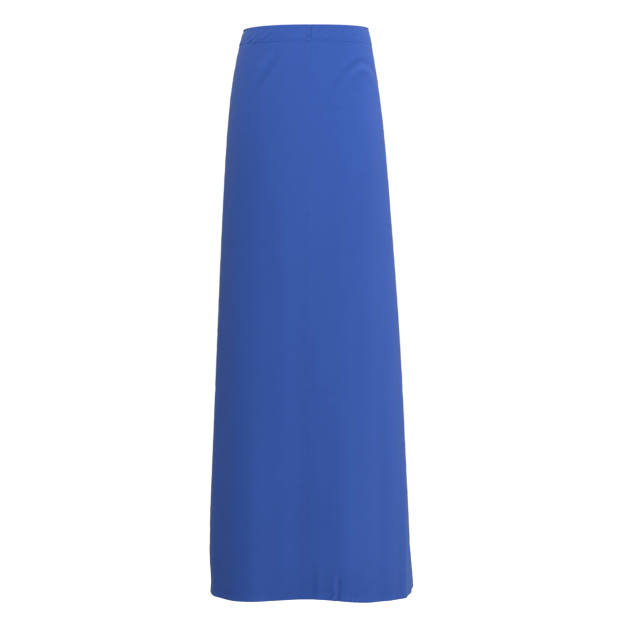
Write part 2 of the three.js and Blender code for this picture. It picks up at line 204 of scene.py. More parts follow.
def folds(arc, drop):
    """How far the skirt stands out of its smooth shape, as a sum of humps and waves. It has slow upright
    waves that grow towards the hem, two shallow lobes with a hollow between them, a ridge down the
    right side, the left side tucked in and the front turned under at the hem, an arched drag line at
    the upper right and a straight one at the upper left, pressed creases, puckers at the band and the
    hems, and two small tucks at the hem. Inside the band it follows the band's own wave instead."""
    out = np.zeros(np.broadcast(arc, drop).shape)
    tucked = 0.0025 * rise(drop, 0.84, 0.96) + 0.0042 * rise(drop, 0.93, 0.985)
    out = out - tucked * bell(arc + 0.24, 0.06)
    for length, slant, start in zip(wave_lengths, wave_slants, wave_starts):
        wave = np.sin(2 * math.pi * arc / length + slant * drop + start)
        out = out + 0.00042 * wave * (0.35 + 0.9 * rise(drop, 0.1, 1.0))
    # Lobes, the hollow between them, the right side's ridge, and the hem turned under.
    low = rise(drop, 0.45, 1.0)
    out = out + low * (0.0052 * bell(arc + 0.118, 0.042) + 0.0046 * bell(arc - 0.074, 0.036))
    out = out - low * 0.0042 * bell(arc + 0.033, 0.042)
    out = out + 0.0035 * rise(drop, 0.7, 0.97) * bell(arc - 0.205, 0.014)
    out = out - 0.0080 * rise(drop, 0.93, 1.03) * bell(arc, 0.17) ** 2
    out = out + 0.00016 * dimples(arc, drop)
    # Drag lines: each is a furrow, by its distance off a line, with a ridge beside it.
    right_drag = (drop - 0.0645 - 15 * (arc - 0.095) ** 2) / np.sqrt(1 + (30 * (arc - 0.095)) ** 2)
    out = out - 0.0028 * bell(right_drag, 0.0068) * bell(arc - 0.085, 0.034)
    out = out + 0.0022 * bell(right_drag - 0.013, 0.0095) * bell(arc - 0.083, 0.036)
    left_drag = (drop - 0.076 + 1.35 * (arc + 0.072)) / 1.68
    out = out - 0.0020 * bell(left_drag, 0.0070) * bell(arc + 0.085, 0.022)
    out = out + 0.0015 * bell(left_drag + 0.012, 0.0080) * bell(arc + 0.080, 0.024)
    # Creases pressed in when it was folded: down centre front, and three across.
    crease = 0.00022 * bell(arc - 0.0008 * np.sin(drop * 9), 0.0022) * rise(drop, 0.06, 0.2)
    for place in (0.145, 0.39, 0.64):
        crease = crease - 0.00042 * bell(drop - place - 0.004 * np.sin(arc * 14), 0.0025)
    out = out + crease
    # Puckers beside each seam, which die away from it.
    under_band = np.exp(-np.clip(drop - BAND_HEIGHT, 0, None) / 0.016)
    out = out + 0.00055 * under_band * ripples(arc, 0.2 * drop, 0.5)
    near_hem = np.exp(-np.clip(LENGTH - BOTTOM_HEM - drop, 0, None) / 0.012)
    rough = (0.5 + 0.4 * np.tanh((arc - 0.02) / 0.03)) * (1 - 0.8 * rise(arc, 0.15, 0.22))
    out = out + 0.00050 * near_hem * rough * ripples(arc, drop)
    near_side = np.exp(-np.clip(half_panel - SIDE_HEM - abs(arc), 0, None) / 0.008)
    out = out + 0.00022 * near_side * ripples(drop * 0.6, arc)
    # Tucks in the hem, right of centre front.
    tuck = 0.0024 * bell(arc - 0.0425, 0.0038) - 0.0026 * bell(arc - 0.0495, 0.0044)
    small_tuck = 0.0011 * bell(arc - 0.0165, 0.0070) - 0.0015 * bell(arc - 0.0045, 0.0080)
    out = out + tuck * rise(drop, 0.935, 0.995) + small_tuck * rise(drop, 0.915, 0.985)
    # Below the band the folds set in, and the cloth swells a little where it leaves the band.
    below = rise(drop, BAND_HEIGHT - 0.001, BAND_HEIGHT + 0.010)
    puff = 0.0004 * rise(drop, BAND_HEIGHT - 0.001, BAND_HEIGHT + 0.0006) * bell(drop - BAND_HEIGHT, 0.009)
    wave = band_wave(arc, drop) * (1 - rise(drop, BAND_HEIGHT, BAND_HEIGHT + 0.06))
    return out * below + puff + wave + hug(arc, drop)


def hollows(arc, drop, reach=0.006):
    """How far a place stands above the mean of four places around it: ridges give more than 0 and
    hollows less, in metres."""
    around = (folds(arc + reach, drop) + folds(arc - reach, drop)
              + folds(arc, drop + reach) + folds(arc, drop - reach)) / 4
    return folds(arc, drop) - around


def edge_round(distance, radius):
    """A rounded edge: the share of full thickness at a distance in from it, as a quarter circle."""
    part = 1 - np.clip(distance / radius, 0, 1)
    return np.maximum(0.25, np.sqrt(1 - part**2))


def place_mesh(name, points, faces, uv, material, values=None):
    """Puts points, faces and the cloth coordinates of each point into a new smooth-shaded piece.
    values are named numbers, one for each point, that the material reads."""
    mesh = bpy.data.meshes.new(name)
    mesh.from_pydata(points.tolist(), [], faces)
    corners = np.empty(len(mesh.loops), int)
    mesh.loops.foreach_get("vertex_index", corners)
    layer = mesh.uv_layers.new(name="cloth")
    layer.data.foreach_set("uv", uv[corners].astype(np.float32).ravel())
    for key, numbers in (values or {}).items():
        mesh.attributes.new(key, "FLOAT", "POINT").data.foreach_set("value", numbers.astype(np.float32))
    mesh.polygons.foreach_set("use_smooth", np.ones(len(mesh.polygons), bool))
    mesh.materials.append(material)
    mesh.validate()
    piece = bpy.data.objects.new(name, mesh)
    bpy.context.scene.collection.objects.link(piece)
    return piece


def cloth_solid(name, middle, out, back, uv, material, wear_and_painted_light=None):
    """A closed sheet of cloth. Its two skins lie out and back from a grid of middle points along their
    normals, and strips of faces join the skins round all four edges."""
    normals = facing(middle)
    rows, columns = middle.shape[:2]
    out, back = (np.broadcast_to(t, (rows, columns))[..., None] for t in (out, back))
    points = np.concatenate([(middle + normals * out).reshape(-1, 3),
                             (middle - normals * back).reshape(-1, 3)])
    index = np.arange(rows * columns).reshape(rows, columns)
    under = index + rows * columns
    quads = [np.stack([index[:-1, :-1], index[1:, :-1], index[1:, 1:], index[:-1, 1:]], -1),
             np.stack([under[:-1, :-1], under[:-1, 1:], under[1:, 1:], under[1:, :-1]], -1)]
    for row, turn in ((0, 1), (-1, -1)):
        strip = np.stack([index[row, :-1], index[row, 1:], under[row, 1:], under[row, :-1]], -1)
        quads.append(strip[:, ::turn])
    for column, turn in ((0, -1), (-1, 1)):
        strip = np.stack([index[:-1, column], index[1:, column], under[1:, column], under[:-1, column]], -1)
        quads.append(strip[:, ::turn])
    faces = np.concatenate([q.reshape(-1, 4) for q in quads]).tolist()
    wear_and_painted_light = np.zeros((rows, columns)) if wear_and_painted_light is None else np.broadcast_to(wear_and_painted_light, (rows, columns))
    uv = uv.reshape(-1, 2)
    return place_mesh(name, points, faces, np.concatenate([uv, uv]), material,
                      {"wear_and_painted_light": np.tile(wear_and_painted_light.ravel(), 2)})


class Signal:
    """A shader socket that takes part in sums: a + b, 1 - a and the like each add one Math node."""

    def __init__(self, socket):
        self.socket = socket

    def node(self, kind, inputs=None, output=0, **settings):
        """Adds a node: its settings first, then the value or link of each named or numbered input."""
        tree = self.socket.id_data
        made = tree.nodes.new(kind)
        for key, value in settings.items():
            setattr(made, key, value)
        for key, value in (inputs or {}).items():
            if isinstance(value, Signal):
                tree.links.new(value.socket, made.inputs[key])
            else:
                made.inputs[key].default_value = value
        return Signal(made.outputs[output])

    def math(self, operation, first, second=0.0):
        """Adds a Math node that works on two values or signals."""
        return self.node("ShaderNodeMath", {0: first, 1: second}, operation=operation)

    def __add__(self, other):
        return self.math("ADD", self, other)

    def __sub__(self, other):
        return self.math("SUBTRACT", self, other)

    def __rsub__(self, other):
        return self.math("SUBTRACT", other, self)

    def __mul__(self, other):
        return self.math("MULTIPLY", self, other)

    __radd__, __rmul__ = __add__, __mul__


TWILL_PITCH = 0.0009
WARP_PITCH = 0.00045


def woven(name, colour, sheen=0.12, roughness=0.8, pitch=TWILL_PITCH, depth=0.00009):
    """Woven cloth on its own cloth coordinates, in metres. Slanted twill ridges and the finer warp
    threads set the height. The colour pales on the ridges, drifts slowly over the cloth, and streaks a
    little along the warp. It pales again or darkens by a value that each piece gives for its points:
    wear along folded edges, painted highlight where seams, pleats and folds stand up, and painted shade
    in their hollows."""
    material = bpy.data.materials.new(name)
    material.use_nodes = True
    tree = material.node_tree
    surface = tree.nodes["Principled BSDF"]
    cloth = tree.nodes.new("ShaderNodeUVMap")
    cloth.uv_map = "cloth"
    place = Signal(cloth.outputs[0])
    apart = tree.nodes.new("ShaderNodeSeparateXYZ")
    tree.links.new(cloth.outputs[0], apart.inputs[0])
    across, down = Signal(apart.outputs[0]), Signal(apart.outputs[1])

    def noise(scale_across, scale_down, detail):
        """Cloudy values with so many features to the metre across the cloth and down it."""
        spread = place.node("ShaderNodeCombineXYZ", {0: across * scale_across, 1: down * scale_down})
        return place.node("ShaderNodeTexNoise", {"Vector": spread, "Scale": 1.0, "Detail": detail},
                          output="Fac")

    wander = noise(60.0, 60.0, 2.0) * 0.6
    ridge = place.math("SINE", (across + down) * (2 * math.pi / pitch) + wander) * 0.5 + 0.5
    warp = place.math("SINE", across * (2 * math.pi / WARP_PITCH)) * 0.5 + 0.5
    slub = noise(1500.0, 60.0, 3.0)
    drift = noise(9.0, 5.0, 3.0)
    streak = noise(420.0, 4.0, 2.0)
    # Per point: wear along folded edges, painted highlight where folds, pleats and puckers stand up, and
    # painted shade in their hollows.
    wear_and_painted_light = place.node("ShaderNodeAttribute", output="Fac", attribute_name="wear_and_painted_light")
    shade = 0.80 + ridge * 0.09 + slub * 0.10 + drift * 0.16 + streak * 0.06 + wear_and_painted_light * 0.22
    pale = [min(1.0, c * 1.16 + 0.003) for c in colour]
    deep = [c * 0.80 for c in colour]
    mixed = place.node("ShaderNodeMix", {0: (shade - 0.8) * 2.3, 6: (*deep, 1), 7: (*pale, 1)},
                       output=2, data_type="RGBA")
    tree.links.new(mixed.socket, surface.inputs["Base Color"])
    rough = roughness - 0.05 + slub * 0.1
    tree.links.new(rough.socket, surface.inputs["Roughness"])
    height = ridge * 0.6 + warp * 0.2 + slub * 0.5
    bump = place.node("ShaderNodeBump", {"Strength": 0.6, "Distance": depth, "Height": height})
    tree.links.new(bump.socket, surface.inputs["Normal"])
    surface.inputs["Sheen Weight"].default_value = sheen
    surface.inputs["Sheen Roughness"].default_value = 0.45
    surface.inputs["Sheen Tint"].default_value = (0.7, 0.8, 1.0, 1)
    surface.inputs["Specular IOR Level"].default_value = 0.2
    return material


ROYAL_BLUE = (0.035, 0.099, 0.415)
twill = woven("blue_twill", ROYAL_BLUE)

skirt_arcs = stations(
    (0, 0.03, 0.0033), (0.03, 0.056, 0.0018), (0.056, side_stitch - 0.004, 0.0036),
    (side_stitch - 0.004, half_panel - 0.0006, 0.0010), (half_panel - 0.0006, half_panel, 0.0002))
skirt_arcs = np.concatenate([-skirt_arcs[:0:-1], skirt_arcs])
skirt_drops = stations(
    (BAND_HEIGHT - SEAM_ALLOWANCE, 0.034, 0.0018), (0.034, 0.13, 0.0034), (0.13, 0.93, 0.0085),
    (0.93, bottom_stitch - 0.0045, 0.0036), (bottom_stitch - 0.0045, LENGTH - 0.0006, 0.0010),
    (LENGTH - 0.0006, LENGTH, 0.0002))
arc, drop = np.meshgrid(skirt_arcs, skirt_drops)


def folded_hem(arc, drop):
    """1 where the cloth is folded twice along its side and bottom edges, and 0 elsewhere."""
    side = rise(abs(arc), half_panel - SIDE_HEM - 0.0004, half_panel - SIDE_HEM + 0.0004)
    bottom = rise(drop, LENGTH - BOTTOM_HEM - 0.0004, LENGTH - BOTTOM_HEM + 0.0004)
    return np.maximum(side, bottom) * rise(drop, BAND_HEIGHT + 0.0005, BAND_HEIGHT + 0.002)


def stitch_dent(arc, drop):
    """How far the rows of stitches pull the hems' layers together, in metres."""
    dent = bell(abs(arc) - side_stitch, 0.0011) * rise(drop, 0.03, 0.034)
    return 0.00016 * np.maximum(dent, bell(drop - bottom_stitch, 0.0011))


hem = folded_hem(arc, drop)
thin_edge = edge_round(half_panel - abs(arc), 0.0006) * edge_round(LENGTH - drop, 0.0006)
dent = stitch_dent(arc, drop)
# The hems are painted paler, with painted highlight on their puckers' crests and painted shade in the
# stitches' dents.
hem_painted_light = np.clip(hem * 0.5 + hem * 0.3 * ripples(arc, drop) - 500 * dent * hem, 0, 1)
# The skirt's colour value: the hems' painted light, a paler line down the centre-front crease, and painted
# highlight on the folds' ridges with painted shade in their hollows.
skirt = cloth_solid(
    "skirt", hang(arc, drop, folds(arc, drop)), CLOTH / 2 * thin_edge - dent,
    CLOTH / 2 * thin_edge + hem * 2 * CLOTH * thin_edge - dent, np.stack([arc, drop], -1), twill,
    wear_and_painted_light=hem_painted_light * 0.3 + 0.04 * bell(arc, 0.002) * rise(drop, 0.1, 0.3)
    + np.clip(hollows(arc, drop) * 700, -0.5, 0.6) * rise(drop, 0.034, 0.05))
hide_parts("skirt_panel")
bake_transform(skirt)

# ---- The hems' stitching ----
# Polyester thread a little darker and glossier than the cloth, in lockstitches 3 mm long along the side
# hems and the bottom hem. The needle's row shows outside and the bobbin's row shows inside, each pulled
# a little way into the cloth.
STITCH_PITCH = 0.003
THREAD = 0.00045
SUNK = 0.0001
THREAD_BLUE = (0.034, 0.088, 0.36)
thread = woven("blue_thread", THREAD_BLUE, sheen=0.2, roughness=0.55, pitch=0.0004, depth=0.00004)


def stitch_row(name, middles, normals, aheads, length=STITCH_PITCH * 0.84, radius=THREAD / 2):
    """A row of stitches. Each is a short six-sided capsule lying ahead along the seam, thinner at its
    ends, where it also dips into the cloth, and turned a little off the line by chance."""
    count = len(middles)
    along = np.array([-0.5, -0.36, 0.0, 0.36, 0.5])
    girth = np.array([0.35, 0.9, 1.0, 0.9, 0.35])
    dip = np.array([-1.15, -0.45, 0.1, -0.45, -1.15])
    around = np.arange(6) * math.pi / 3
    sides = np.cross(normals, aheads)
    slant = chance.normal(0, 0.05, count)[:, None]
    aheads = aheads + sides * slant
    size = chance.uniform(0.92, 1.05, count)[:, None, None, None]
    centre = (middles[:, None, None] + aheads[:, None, None] * (along * length)[None, :, None, None] * size
              + normals[:, None, None] * (dip * radius)[None, :, None, None])
    ring = (normals[:, None, None] * np.cos(around)[None, None, :, None]
            + sides[:, None, None] * np.sin(around)[None, None, :, None])
    points = centre + ring * (girth * radius)[None, :, None, None]
    i, j = np.meshgrid(np.arange(4), np.arange(6), indexing="ij")
    nearer, farther = i * 6, i * 6 + 6
    one = np.stack([nearer + j, nearer + (j + 1) % 6, farther + (j + 1) % 6, farther + j], -1).reshape(-1, 4)
    ends = np.array([[3, 2, 1, 0], [5, 4, 3, 0], [24, 25, 26, 27], [24, 27, 28, 29]])
    one = np.concatenate([one, ends])
    faces = (one[None] + 30 * np.arange(count)[:, None, None]).reshape(-1, 4)
    uv = np.stack(np.broadcast_arrays(
        (along * length)[None, :, None] + 0.003 * np.arange(count)[:, None, None],
        around[None, None, :] * radius), -1)
    return place_mesh(name, points.reshape(-1, 3), faces.tolist(), uv.reshape(-1, 2), thread)


def seam_on(surface, arcs, drops, down):
    """Places, normals and directions of stitches along a seam on a surface of arc and drop. down is
    true where the seam runs down the cloth, and false where it runs across."""
    step = 0.0008
    ahead_a = surface(arcs + step, drops) - surface(arcs - step, drops)
    ahead_d = surface(arcs, drops + step) - surface(arcs, drops - step)
    normals = np.cross(ahead_d, ahead_a)
    normals /= np.linalg.norm(normals, axis=-1, keepdims=True)
    ahead = ahead_d if down else ahead_a
    return surface(arcs, drops), normals, ahead / np.linalg.norm(ahead, axis=-1, keepdims=True)


def both_faces(name, surface, arcs, drops, down, out, back):
    """The two rows of one seam in one piece's mesh data: outside at out, and inside at back, half a
    stitch further on."""
    middles, normals, aheads = seam_on(surface, arcs, drops, down)
    shift = aheads * STITCH_PITCH / 2
    middles = np.concatenate([middles + normals * out, middles - normals * back + shift])
    normals = np.concatenate([normals, -normals])
    return stitch_row(name, middles, normals, np.concatenate([aheads, aheads]))


def skirt_face(arc, drop):
    """The middle of the skirt's cloth, folds and all."""
    return hang(arc, drop, folds(arc, drop))


side_rows = np.arange(BAND_HEIGHT + 0.004, bottom_stitch - 0.002, STITCH_PITCH)
for name, side in (("left", -1), ("right", 1)):
    seam_arcs = np.full(len(side_rows), side * side_stitch)
    stitches = both_faces(f"side_hem_stitches_{name}", skirt_face, seam_arcs, side_rows, True,
                          CLOTH / 2 - SUNK, CLOTH * 2.5 - 2 * SUNK)
    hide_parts(f"side_hem_stitching_{name}")
    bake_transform(stitches)
hem_places = np.arange(-half_panel + 0.003, half_panel - 0.003, STITCH_PITCH)
stitches = both_faces("bottom_hem_stitches", skirt_face, hem_places, np.full(len(hem_places), bottom_stitch),
                      False, CLOTH / 2 - SUNK, CLOTH * 2.5 - 2 * SUNK)
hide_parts("bottom_hem_stitching")
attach(stitches, "skirt")

# ---- The waistband ----
# Two strips of the same twill joined at centre front. Each is folded over the skirt's top edge with
# its own raw edges turned in, so that each wall is two layers thick, and sewn through near its lower
# edge. The feed of the machine leaves slanted puckers along it.
WALL = 2 * CLOTH
WALL_MIDDLE = CLOTH / 2 + WALL / 2 + 0.00002
band_stitch = BAND_HEIGHT - 0.003


def band_profile(rows_down, rows_round):
    """The folded band's middle line from its outer lower edge over the top to its inner lower edge:
    how far off the cloth, how far down, and the angle that its outward side has turned."""
    down = stations(
        (WALL_MIDDLE, band_stitch - 0.001, rows_down), (band_stitch - 0.001, BAND_HEIGHT - 0.0008, 0.0006),
        (BAND_HEIGHT - 0.0008, BAND_HEIGHT, 0.0002))
    turn = np.linspace(0, math.pi, rows_round)[1:-1]
    off = np.concatenate([np.full(len(down), WALL_MIDDLE), WALL_MIDDLE * np.cos(turn),
                          np.full(len(down), -WALL_MIDDLE)])
    fall = np.concatenate([down[::-1], WALL_MIDDLE * (1 - np.sin(turn)), down])
    angle = np.concatenate([np.zeros(len(down)), turn, np.full(len(down), math.pi)])
    return off, fall, angle


def band_puckers(arc, drop, wall):
    """How far the band's walls wave out of true: slanted puckers from the stitching, a slower wave, and
    the dip where the two strips meet at centre front."""
    sewn = 0.45 + 0.55 * rise(drop, 0.0, band_stitch)
    uneven = np.clip(ripples(arc * 0.5, drop, 0.6), -0.9, 2.0) * (1.0 - 0.3 * np.tanh(arc / 0.03))
    wave = 0.00036 * uneven * sewn * np.where(wall > 0, 1.0, 0.5)
    seam = -0.00060 * bell(arc, 0.0011) + 0.00035 * bell(abs(arc) - 0.0035, 0.0022)
    return wave + band_wave(arc, drop) + seam * np.sign(wall + 1e-9) + hug(arc, drop)


def band_half(name, first, last):
    """One half of the band: its profile carried along the cloth from one arc to another."""
    off, fall, angle = band_profile(0.0019, 9)
    arcs = stations((first, first + 0.0005, 0.0001), (first + 0.0005, first + 0.006, 0.0005),
                    (first + 0.006, last - 0.006, 0.0020), (last - 0.006, last - 0.0005, 0.0005),
                    (last - 0.0005, last, 0.0001))
    arc, off = np.meshgrid(arcs, off)
    fall, angle = (np.repeat(v[:, None], len(arcs), 1) for v in (fall, angle))
    move = band_puckers(arc, fall, off) * np.cos(angle) ** 2
    middle = hang(arc, fall, off + move)
    lower = edge_round(BAND_HEIGHT - fall, 0.0014)
    end = edge_round(np.minimum(arc - first, last - arc), 0.0003)
    dent = 0.00022 * bell(fall - band_stitch, 0.0012)
    half = WALL / 2 * lower * end - dent
    steps = np.linalg.norm(np.diff(middle[:, :1], axis=0), axis=-1)
    around = np.cumsum(np.pad(steps, ((1, 0), (0, 0))), axis=0)
    # Paler along the band's top fold and its lower edge, and painted highlight on the puckers' crests with
    # painted shade between them.
    wear_and_painted_light = np.clip(0.35 * bell(fall, 0.0016) + 0.30 * bell(fall - BAND_HEIGHT, 0.0012)
                   + 0.15 * ripples(arc * 0.5, fall, 0.6), -0.4, 1)
    return cloth_solid(name, middle[:, ::-1], half[:, ::-1], half[:, ::-1],
                       np.stack([arc, around + 0 * arc], -1)[:, ::-1], twill, wear_and_painted_light[:, ::-1])


SEAM_GAP = 0.00002
for name, first, last in (("left", -half_panel, -SEAM_GAP), ("right", SEAM_GAP, half_panel)):
    band = band_half(f"waistband_{name}_cloth", first, last)
    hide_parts(f"waistband_{name}")
    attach(band, "waist")


def band_face(arc, drop):
    """The middle of the band's outer wall."""
    return hang(arc, drop, WALL_MIDDLE + band_puckers(arc, drop, np.ones_like(arc)))


def band_inside(arc, drop):
    """The middle of the band's inner wall."""
    return hang(arc, drop, -WALL_MIDDLE + band_puckers(arc, drop, -np.ones_like(arc)))


band_places = np.arange(-half_panel + 0.0035, half_panel - 0.003, STITCH_PITCH)
outside = seam_on(band_face, band_places, np.full(len(band_places), band_stitch), False)
inside = seam_on(band_inside, band_places + STITCH_PITCH / 2, np.full(len(band_places), band_stitch), False)
lift = WALL / 2 - 0.00014
stitches = stitch_row(
    "waistband_stitches",
    np.concatenate([outside[0] + outside[1] * lift, inside[0] - inside[1] * lift]),
    np.concatenate([outside[1], -inside[1]]), np.concatenate([outside[2], inside[2]]))
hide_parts("waistband_stitching")
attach(stitches, "waist")

# ---- The bartacks ----
# A dense block of zigzag stitches, 3 mm wide, over each end of the band. It closes the band's end and
# holds the tie that is sewn inside it.
BARTACK_WIDTH = 0.003
BARTACK_INSET = 0.005
tack_drops = np.arange(0.003, band_stitch - 0.003, 0.0005)
for name, side in (("left", -1), ("right", 1)):
    tack_arcs = np.full(len(tack_drops), side * (half_panel - BARTACK_INSET - BARTACK_WIDTH / 2))
    zigzag = 0.15 * (-1.0) ** np.arange(len(tack_drops))[:, None]
    faces = []
    for face, way in ((band_face, 1), (band_inside, -1)):
        middles, normals, aheads = seam_on(face, tack_arcs, tack_drops, False)
        faces.append((middles + normals * way * (WALL / 2 + 0.00005), normals * way,
                      aheads + np.cross(normals, aheads) * zigzag))
    middles, normals, aheads = (np.concatenate(parts) for parts in zip(*faces))
    tack = stitch_row(f"bartack_{name}_stitches", middles, normals, aheads, BARTACK_WIDTH, THREAD * 0.55)
    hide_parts(f"bartack_{name}")
    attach(tack, "waist")

# ---- The care label ----
# A blank tape of white polyester satin, 30 by 42 mm and 0.25 mm thick, sewn by its top edge to the
# inside of the band on the left. Its lower end hangs free and curls a little away from the cloth.
LABEL_WIDTH, LABEL_HEIGHT = 0.03, 0.042
LABEL_ARC, LABEL_TOP = -0.215, 0.008
satin = woven("label_satin", (0.80, 0.79, 0.75), sheen=0.15, roughness=0.42, pitch=0.00035, depth=0.00003)
along, down = np.meshgrid(stations((0, 0.0008, 0.0002), (0.0008, LABEL_WIDTH - 0.0008, 0.0012),
                                   (LABEL_WIDTH - 0.0008, LABEL_WIDTH, 0.0002)),
                          stations((0, 0.0008, 0.0002), (0.0008, LABEL_HEIGHT, 0.0012)))
curl = 0.0026 * rise(down, 0.016, LABEL_HEIGHT) * (1 + 0.5 * np.sin(along * 90)) + 0.0002 * np.sin(down * 300)


def label_face(arc, drop):
    """Where the label lies against the band's inner wall. Below the band it keeps on in the same way."""
    follows = band_puckers(arc, np.minimum(drop, BAND_HEIGHT), -np.ones_like(arc))
    return hang(arc, drop, follows - WALL_MIDDLE - WALL / 2 - 0.00022)


away = facing(hang(LABEL_ARC + along, LABEL_TOP + down)) * -curl[..., None]
label = cloth_solid("care_label_tape", label_face(LABEL_ARC + along, LABEL_TOP + down) + away,
                    0.00012, 0.00012, np.stack([along, down], -1), satin)
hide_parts("care_label")
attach(label, "waist")
label_places = LABEL_ARC + np.arange(0.0025, LABEL_WIDTH - 0.001, STITCH_PITCH)
label_drops = np.full(len(label_places), LABEL_TOP + 0.003)
middles, normals, aheads = seam_on(label_face, label_places, label_drops, False)
stitches = stitch_row("care_label_stitches", middles - normals * 0.0001, -normals, aheads)
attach(stitches, "waist")

# ---- The ties: where they leave the band ----
# Each tie is one strip of the same twill, folded to 30 mm wide, sewn along one edge, and sewn into the
# end of the band. Behind the wearer the two are tied in a bow, into which each gathers as it runs.
TIE_WIDTH = 0.03
TIE_LENGTH = 0.8
TIE_THICKNESS = 0.0013
TIE_COLUMNS = 27
RUN_HALF, GATHERED_HALF = 0.0148, 0.0085
KNOT_WIDTH, KNOT_HEIGHT, KNOT_DEPTH = 0.024, 0.03, 0.016
KNOT_DROP = 0.47 * BAND_HEIGHT
centre_back = right_side[0, -1] - ring_middle - (0, 0, KNOT_DROP)
knot_middle = centre_back + (0, 0.004, 0)
across_share = np.sin(np.linspace(-math.pi / 2, math.pi / 2, TIE_COLUMNS))


def unit(vectors):
    """Vectors of the same directions, each 1 long."""
    return vectors / np.linalg.norm(vectors, axis=-1, keepdims=True)


def tie_strip(name, places, across, half, wave, thickness):
    """A strip of tie along a row of places. across is the direction of its width and half is half of
    its width. wave is how far it stands off flat, and thickness its own, at each place and share."""
    along = unit(np.gradient(places, axis=0))
    across = np.broadcast_to(across, places.shape)
    out = unit(np.cross(along, across))
    middle = (places[:, None] + across[:, None] * (half[:, None] * across_share)[..., None]
              + out[:, None] * wave[..., None])
    length = np.concatenate([[0], np.cumsum(np.linalg.norm(np.diff(places, axis=0), axis=-1))])
    edge = edge_round((1 - abs(across_share)) * half[:, None], 0.0008)
    uv = np.stack(np.broadcast_arrays(half[:, None] * across_share, length[:, None]), -1)
    wear_and_painted_light = 0.4 * bell((1 - abs(across_share)) * half[:, None], 0.0012)
    strip = cloth_solid(name, middle, thickness / 2 * edge, thickness / 2 * edge, uv, twill, wear_and_painted_light)
    return strip, middle, length, half


def tie_stitches(name, middle, length, half, first, last):
    """The row of stitches 2 mm in from one edge of a strip, on both of its faces."""
    places = np.arange(first, last, STITCH_PITCH)
    row = np.interp(places, length, np.arange(len(length)))
    share = 1 - 0.002 / np.interp(places, length, half)
    column = (np.arcsin(share) / math.pi + 0.5) * (TIE_COLUMNS - 1)
    points = between(middle, row, column)
    normals = unit(between(facing(middle), row, column))
    aheads = unit(between(np.gradient(middle, axis=0), row, column))
    lift = normals * (TIE_THICKNESS / 2 - 0.00008)
    stitches = stitch_row(name, np.concatenate([points + lift, points - lift + aheads * STITCH_PITCH / 2]),
                          np.concatenate([normals, -normals]), np.concatenate([aheads, aheads]))
    return stitches


for name, side in (("left", -1), ("right", 1)):
    top, low = (hang(np.array(side * half_panel), np.array(d)) for d in (0.0, BAND_HEIGHT))
    inner_arc = np.array(side * (half_panel - 0.006))
    inside_top, inside_low = (hang(inner_arc, np.array(d)) for d in (0.0, BAND_HEIGHT))
    start, end = (top + low) / 2, centre_back + (side * (KNOT_WIDTH / 2 - 0.004), 0, 0)
    into_band = (inside_top + inside_low) / 2
    share = np.linspace(0, 1, 30)[:, None]
    places = np.concatenate([into_band + (start - into_band) * np.linspace(0, 1, 6)[:-1, None],
                             start + (end - start) * share])
    gathering = rise(np.concatenate([np.zeros(5), share[:, 0]]), 0, 1)[:, None]
    across = unit(unit(low - top) * (1 - gathering) + np.array([0, 0, -1]) * gathering) * -side
    half = (RUN_HALF + (GATHERED_HALF - RUN_HALF) * gathering)[:, 0]
    pleats = 0.0014 * gathering * np.cos(3.2 * math.pi * across_share + 0.6) * (1 - 0.4 * across_share**2)
    leaving = np.concatenate([np.zeros(5), rise(share[:, 0], 0, 0.2)])[:, None]
    run, *shape = tie_strip(f"tie_{name}_run_strip", places, across, half, pleats,
                            0.0005 + (TIE_THICKNESS - 0.0005) * leaving)
    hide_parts(f"tie_{name}_run")
    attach(run, "waist")
    stitches = tie_stitches(f"tie_{name}_run_stitches", *shape, 0.0105, shape[1][-1] - 0.004)
    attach(stitches, "waist")

# ---- The bow's knot ----
# The two ties cross and wrap once round each other, pulled tight. The wrap's cloth lies in pleats that
# run round the knot, pinched in at both sides where the ties and loops go in.
rows, columns = 61, 96
turn = np.linspace(-math.pi / 2, math.pi / 2, rows)[:, None]
around = np.linspace(0, 2 * math.pi, columns, endpoint=False)[None, :]


def rounded(angle_part, power):
    """A sine or cosine drawn out to a power, for a block with rounded edges."""
    return np.sign(angle_part) * abs(angle_part) ** power


body_x = KNOT_WIDTH / 2 * rounded(np.sin(turn), 0.72)
girth = rounded(np.cos(turn), 0.55) * (1 - 0.12 * bell(body_x - 0.001, 0.002))
pleat_at = body_x + 0.0016 * np.sin(around + 0.5) + 0.0008 * np.sin(2 * around)
pleat = (0.00075 * abs(np.cos(math.pi * pleat_at / 0.0062)) ** 0.6
         + 0.00030 * np.cos(2 * math.pi * pleat_at / 0.0029))
swell = girth * (1 - 0.0006 / 0.008) + (pleat - 0.0004) / 0.011 * np.cos(turn) ** 0.5
points = np.stack(np.broadcast_arrays(
    knot_middle[0] + body_x + 0.0006 * np.sin(around) * np.cos(turn),
    knot_middle[1] + KNOT_DEPTH / 2 * swell * rounded(np.cos(around), 0.75),
    knot_middle[2] + KNOT_HEIGHT / 2 * swell * rounded(np.sin(around), 0.75)), -1)
left_pole, right_pole = points[0].mean(axis=0), points[-1].mean(axis=0)
i, j = np.meshgrid(np.arange(1, rows - 2), np.arange(columns), indexing="ij")
index = lambda r, c: (r - 1) * columns + c % columns
faces = np.stack([index(i, j), index(i, j + 1), index(i + 1, j + 1), index(i + 1, j)], -1)
faces = faces.reshape(-1, 4).tolist()
count = (rows - 2) * columns
faces += [(count, index(1, c + 1), index(1, c)) for c in range(columns)]
faces += [(count + 1, index(rows - 2, c), index(rows - 2, c + 1)) for c in range(columns)]
flat_points = np.concatenate([points[1:-1].reshape(-1, 3), [left_pole, right_pole]])
uv = np.stack(np.broadcast_arrays(body_x, around * 0.0115), -1)[1:-1].reshape(-1, 2)
# The wrap's cloth is a little paler all over, and paler still on the pleats' crests as a painted highlight.
knot = place_mesh("bow_knot_wrap", flat_points, faces, np.concatenate([uv, [[0, 0], [0, 0]]]), twill,
                  {"wear_and_painted_light": np.append(np.clip(0.25 + (pleat[1:-1] * 600).ravel(), 0, 1), [0.0, 0.0])})
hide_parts("bow_knot")
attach(knot, "waist")

